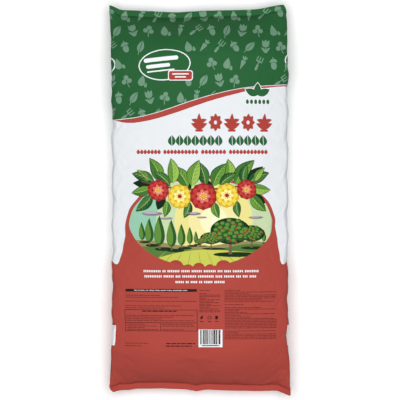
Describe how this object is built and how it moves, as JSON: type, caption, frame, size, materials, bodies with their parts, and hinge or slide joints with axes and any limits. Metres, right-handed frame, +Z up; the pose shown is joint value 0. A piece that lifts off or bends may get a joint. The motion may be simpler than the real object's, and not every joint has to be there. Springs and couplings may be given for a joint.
{
  "type": "compost bag",
  "caption": "Sealed side-gusseted film sack filled with compost, lying on its back, with a welded seal strip and pointed ears at each end.",
  "frame": {"origin": "middle of the flat underside, on the floor that the sack lies on", "axes": "+Y along the sack to the head of the printed front, +X across to the right of the print, +Z up through the printed front"},
  "size_m": [0.4037, 0.8698, 0.1684],
  "materials": {
    "printed_film": "satin polyethylene film with a red foot, a white middle and a green head"
  },
  "bodies": {
    "root": {"bag": "printed_film"}
  },
  "joints": []
}
